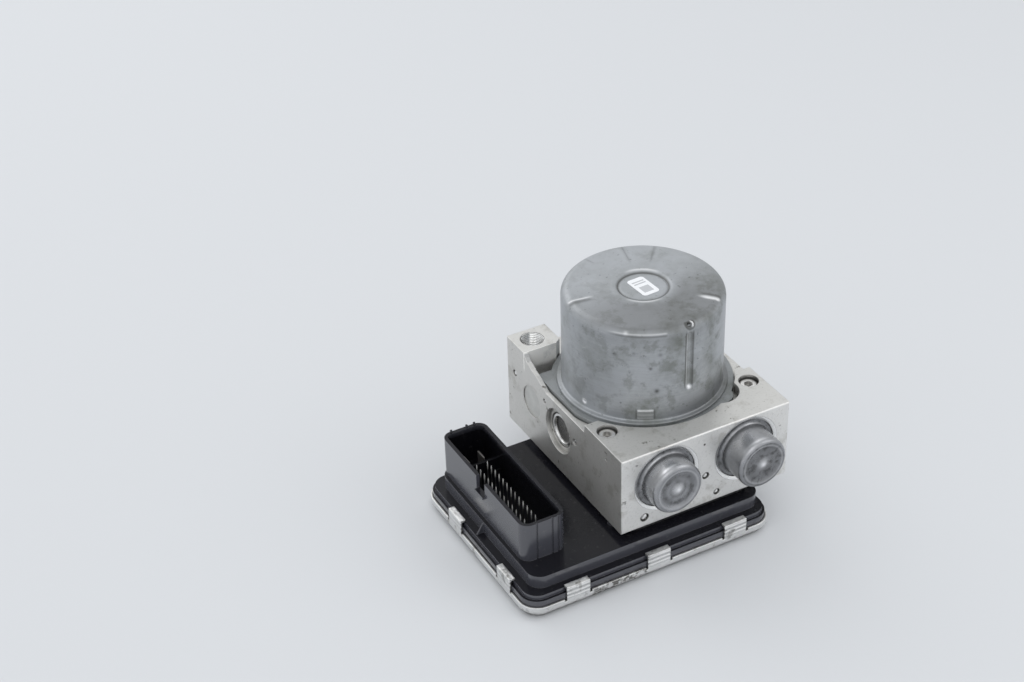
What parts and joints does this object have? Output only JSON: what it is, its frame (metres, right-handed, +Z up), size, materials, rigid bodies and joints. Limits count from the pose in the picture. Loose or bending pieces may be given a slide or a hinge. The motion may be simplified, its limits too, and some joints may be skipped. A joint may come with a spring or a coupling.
{
  "type": "abs brake module",
  "caption": "Anti-lock brake module: machined valve block with a round pump motor on top, two front accumulator cups, and a flat black control unit with a tall open connector below.",
  "frame": {"origin": "centre of the module's bounding box in X and Y, on the surface it lies on", "axes": "+X to the right seen from the front, +Y away from the accumulator cups to the wheel ports, +Z up along the motor"},
  "size_m": [0.1456, 0.1212, 0.1129],
  "materials": {
    "cover_metal": "satin",
    "housing_plastic": "gloss",
    "block_metal": "machined",
    "can_metal": "satin",
    "cap_metal": "satin",
    "plug_metal": "satin",
    "steel": "ground",
    "screw_steel": "satin",
    "magnet": "matt",
    "core_steel": "matt",
    "copper": "enamelled",
    "carbon": "matt",
    "seal_rubber": "matt",
    "board": "satin",
    "electronic": "matt",
    "pin_metal": "bright",
    "inner_plastic": "matt",
    "label_white": "satin"
  },
  "bodies": {
    "module": {"ecu_cover": "cover_metal", "ecu_housing": "housing_plastic", "signal_pins": "pin_metal", "power_blades": "pin_metal", "circuit_board": "board", "board_components": "electronic", "cover_seal": "seal_rubber", "block_seal": "seal_rubber", "valve_coils": "copper", "ecu_screws": "screw_steel", "valve_block": "block_metal", "accumulator_cap_left": "cap_metal", "accumulator_cap_right": "cap_metal", "accumulator_spring_left": "steel", "accumulator_spring_right": "steel", "pump_plug_left": "plug_metal", "pump_plug_right": "plug_metal", "pump_sleeve_left": "steel", "pump_sleeve_right": "steel", "pump_spring_left": "steel", "pump_spring_right": "steel", "ball_plugs": "plug_metal", "damper_discs": "plug_metal", "pad_screws": "screw_steel", "inlet_valves": "steel", "outlet_valves": "steel", "pressure_sensor": "steel", "motor_can": "can_metal", "motor_flange": "can_metal", "motor_seal": "seal_rubber", "magnets": "magnet", "upper_bearing": "steel", "lower_bearing": "steel", "brush_carrier": "inner_plastic", "brushes": "carbon", "brush_springs": "steel", "motor_terminals": "copper", "motor_label": "label_white"},
    "rotor": {"motor_shaft": "steel", "armature_core": "core_steel", "armature_windings": "copper", "commutator": "copper", "eccentric_bearing": "steel"},
    "accumulator_piston_left": {"accumulator_piston_left": "steel", "accumulator_seal_left": "seal_rubber"},
    "accumulator_piston_right": {"accumulator_piston_right": "steel", "accumulator_seal_right": "seal_rubber"},
    "pump_piston_left": {"pump_piston_left": "steel"},
    "pump_piston_right": {"pump_piston_right": "steel"}
  },
  "joints": [
    {"name": "rotor_spin", "type": "hinge", "parent": "module", "child": "rotor", "pos_m": [0.02675, 0.0091, 0.06], "axis": [0, 0, 1], "continuous": true},
    {"name": "pump_left_stroke", "type": "slide", "parent": "module", "child": "pump_piston_left", "axis": [-1, 0, 0], "range_m": [0, 0.003], "stiffness_N_per_m": 1500, "springref_m": -0.002, "deforming": ["pump_spring_left"]},
    {"name": "pump_right_stroke", "type": "slide", "parent": "module", "child": "pump_piston_right", "axis": [1, 0, 0], "range_m": [0, 0.003], "stiffness_N_per_m": 1500, "springref_m": -0.002, "deforming": ["pump_spring_right"]},
    {"name": "accumulator_left_travel", "type": "slide", "parent": "module", "child": "accumulator_piston_left", "axis": [0, -1, 0], "range_m": [0, 0.008], "stiffness_N_per_m": 2000, "springref_m": -0.004, "deforming": ["accumulator_spring_left"]},
    {"name": "accumulator_right_travel", "type": "slide", "parent": "module", "child": "accumulator_piston_right", "axis": [0, -1, 0], "range_m": [0, 0.008], "stiffness_N_per_m": 2000, "springref_m": -0.004, "deforming": ["accumulator_spring_right"]}
  ]
}
